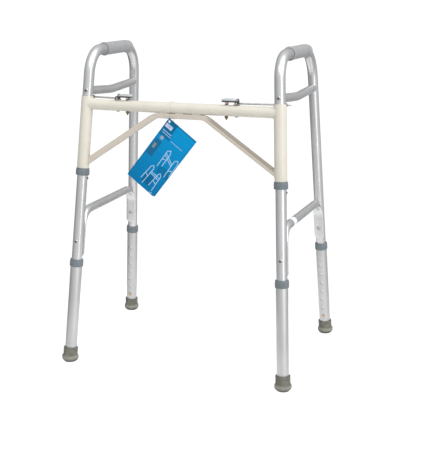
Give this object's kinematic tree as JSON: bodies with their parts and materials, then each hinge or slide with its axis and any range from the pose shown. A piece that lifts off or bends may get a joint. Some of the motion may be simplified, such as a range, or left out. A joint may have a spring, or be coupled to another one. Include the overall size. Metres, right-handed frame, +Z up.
{
  "type": "walking frame",
  "caption": "Folding height-adjustable walking frame: bent-tube side frames hinged on a braced front crossbar with palm levers, hand grips and rubber feet.",
  "frame": {"origin": "on the floor, at the middle of the four feet", "axes": "+Z up; the front with the crossbar faces -Y and the user steps in from +Y; left is -X, as seen from the front"},
  "size_m": [0.6442, 0.4867, 0.813],
  "materials": {
    "cream_powder_coat": "satin powder coat",
    "satin_aluminium": "satin anodised",
    "slate_plastic": "moulded, fine texture",
    "grey_vinyl": "soft moulded vinyl",
    "grey_rubber": "moulded, dusty matte",
    "zinc_steel": "zinc plated",
    "dark_steel": "blackened",
    "brass": "bright",
    "copper_spring": "copper washed spring steel",
    "pad_plastic": "smooth moulded",
    "tag_card": "coated card",
    "tag_loop": "clear cord"
  },
  "bodies": {
    "front_frame": {"crossbar": "cream_powder_coat", "cross_brace": "cream_powder_coat", "left_pivot_sleeve": "cream_powder_coat", "left_lever_bracket": "zinc_steel", "left_bracket_rivet": "zinc_steel", "left_lever_pin": "zinc_steel", "left_spring_bolt": "dark_steel", "left_spring_nut": "brass", "left_lever_spring": "copper_spring", "left_rod_guide": "dark_steel", "right_pivot_sleeve": "cream_powder_coat", "right_lever_bracket": "zinc_steel", "right_bracket_rivet": "zinc_steel", "right_lever_pin": "zinc_steel", "right_spring_bolt": "dark_steel", "right_spring_nut": "brass", "right_lever_spring": "copper_spring", "right_rod_guide": "dark_steel"},
    "left_side_frame": {"left_side_tube": "satin_aluminium", "left_hand_grip": "grey_vinyl", "left_upper_brace": "satin_aluminium", "left_lower_brace": "satin_aluminium", "left_stop_collar": "slate_plastic", "left_upper_front_rivet": "zinc_steel", "left_upper_rear_rivet": "zinc_steel", "left_lower_front_rivet": "zinc_steel", "left_lower_rear_rivet": "zinc_steel"},
    "front_left_leg": {"front_left_leg_extension": "satin_aluminium", "front_left_rubber_foot": "grey_rubber", "front_left_bush_collar": "slate_plastic"},
    "front_left_button": {"front_left_snap_button": "brass"},
    "rear_left_leg": {"rear_left_leg_extension": "satin_aluminium", "rear_left_rubber_foot": "grey_rubber", "rear_left_bush_collar": "slate_plastic"},
    "rear_left_button": {"rear_left_snap_button": "brass"},
    "left_lever": {"left_lever_arm": "dark_steel", "left_lever_pad": "pad_plastic"},
    "left_rod": {"left_lock_rod": "zinc_steel"},
    "right_side_frame": {"right_side_tube": "satin_aluminium", "right_hand_grip": "grey_vinyl", "right_upper_brace": "satin_aluminium", "right_lower_brace": "satin_aluminium", "right_stop_collar": "slate_plastic", "right_upper_front_rivet": "zinc_steel", "right_upper_rear_rivet": "zinc_steel", "right_lower_front_rivet": "zinc_steel", "right_lower_rear_rivet": "zinc_steel"},
    "front_right_leg": {"front_right_leg_extension": "satin_aluminium", "front_right_rubber_foot": "grey_rubber", "front_right_bush_collar": "slate_plastic"},
    "front_right_button": {"front_right_snap_button": "brass"},
    "rear_right_leg": {"rear_right_leg_extension": "satin_aluminium", "rear_right_rubber_foot": "grey_rubber", "rear_right_bush_collar": "slate_plastic"},
    "rear_right_button": {"rear_right_snap_button": "brass"},
    "right_lever": {"right_lever_arm": "dark_steel", "right_lever_pad": "pad_plastic"},
    "right_rod": {"right_lock_rod": "zinc_steel"},
    "hang_tag": {"tag_loop": "tag_loop", "tag_card": "tag_card"}
  },
  "joints": [
    {"name": "left_fold", "type": "hinge", "parent": "front_frame", "child": "left_side_frame", "pos_m": [-0.2849, -0.2227, 0], "axis": [-0.0593, -0.0713, -0.9957], "range_deg": [0, 56]},
    {"name": "front_left_height", "type": "slide", "parent": "left_side_frame", "child": "front_left_leg", "axis": [-0.0593, -0.0713, -0.9957], "range_m": [0, 0.1524]},
    {"name": "front_left_button_press", "type": "slide", "parent": "left_side_frame", "child": "front_left_button", "axis": [0.0421, -0.9967, 0.0689], "range_m": [0, 0.005], "stiffness_N_per_m": 400, "springref_m": -0.003},
    {"name": "rear_left_height", "type": "slide", "parent": "left_side_frame", "child": "rear_left_leg", "axis": [-0.0661, 0.1128, -0.9914], "range_m": [0, 0.1524]},
    {"name": "rear_left_button_press", "type": "slide", "parent": "left_side_frame", "child": "rear_left_button", "axis": [-0.0305, 0.9929, 0.115], "range_m": [0, 0.005], "stiffness_N_per_m": 400, "springref_m": -0.003},
    {"name": "left_lever_press", "type": "hinge", "parent": "front_frame", "child": "left_lever", "pos_m": [-0.1625, -0.1753, 0.6795], "axis": [0, 1, 0], "range_deg": [0, 10], "stiffness_Nm_per_rad": 1, "springref_deg": -8.59, "deforming": ["left_lever_spring"]},
    {"name": "left_rod_slide", "type": "slide", "parent": "front_frame", "child": "left_rod", "axis": [1, 0, 0], "range_m": [0, 0.0012]},
    {"name": "right_fold", "type": "hinge", "parent": "front_frame", "child": "right_side_frame", "pos_m": [0.2849, -0.2227, 0], "axis": [-0.0593, 0.0713, 0.9957], "range_deg": [0, 80]},
    {"name": "front_right_height", "type": "slide", "parent": "right_side_frame", "child": "front_right_leg", "axis": [0.0593, -0.0713, -0.9957], "range_m": [0, 0.1524]},
    {"name": "front_right_button_press", "type": "slide", "parent": "right_side_frame", "child": "front_right_button", "axis": [-0.0421, -0.9967, 0.0689], "range_m": [0, 0.005], "stiffness_N_per_m": 400, "springref_m": -0.003},
    {"name": "rear_right_height", "type": "slide", "parent": "right_side_frame", "child": "rear_right_leg", "axis": [0.0661, 0.1128, -0.9914], "range_m": [0, 0.1524]},
    {"name": "rear_right_button_press", "type": "slide", "parent": "right_side_frame", "child": "rear_right_button", "axis": [0.0305, 0.9929, 0.115], "range_m": [0, 0.005], "stiffness_N_per_m": 400, "springref_m": -0.003},
    {"name": "right_lever_press", "type": "hinge", "parent": "front_frame", "child": "right_lever", "pos_m": [0.1405, -0.1753, 0.6795], "axis": [0, -1, 0], "range_deg": [0, 10], "stiffness_Nm_per_rad": 1, "springref_deg": -8.59, "deforming": ["right_lever_spring"]},
    {"name": "right_rod_slide", "type": "slide", "parent": "front_frame", "child": "right_rod", "axis": [-1, 0, 0], "range_m": [0, 0.0012]},
    {"name": "tag_swing", "type": "hinge", "parent": "front_frame", "child": "hang_tag", "pos_m": [0, -0.1753, 0.662], "axis": [-1, 0, 0], "range_deg": [0, 60]}
  ],
  "couplings": [
    {"joint": "left_rod_slide", "follows": "left_lever_press", "m_per_rad": 0.0065},
    {"joint": "right_rod_slide", "follows": "right_lever_press", "m_per_rad": 0.0065}
  ]
}
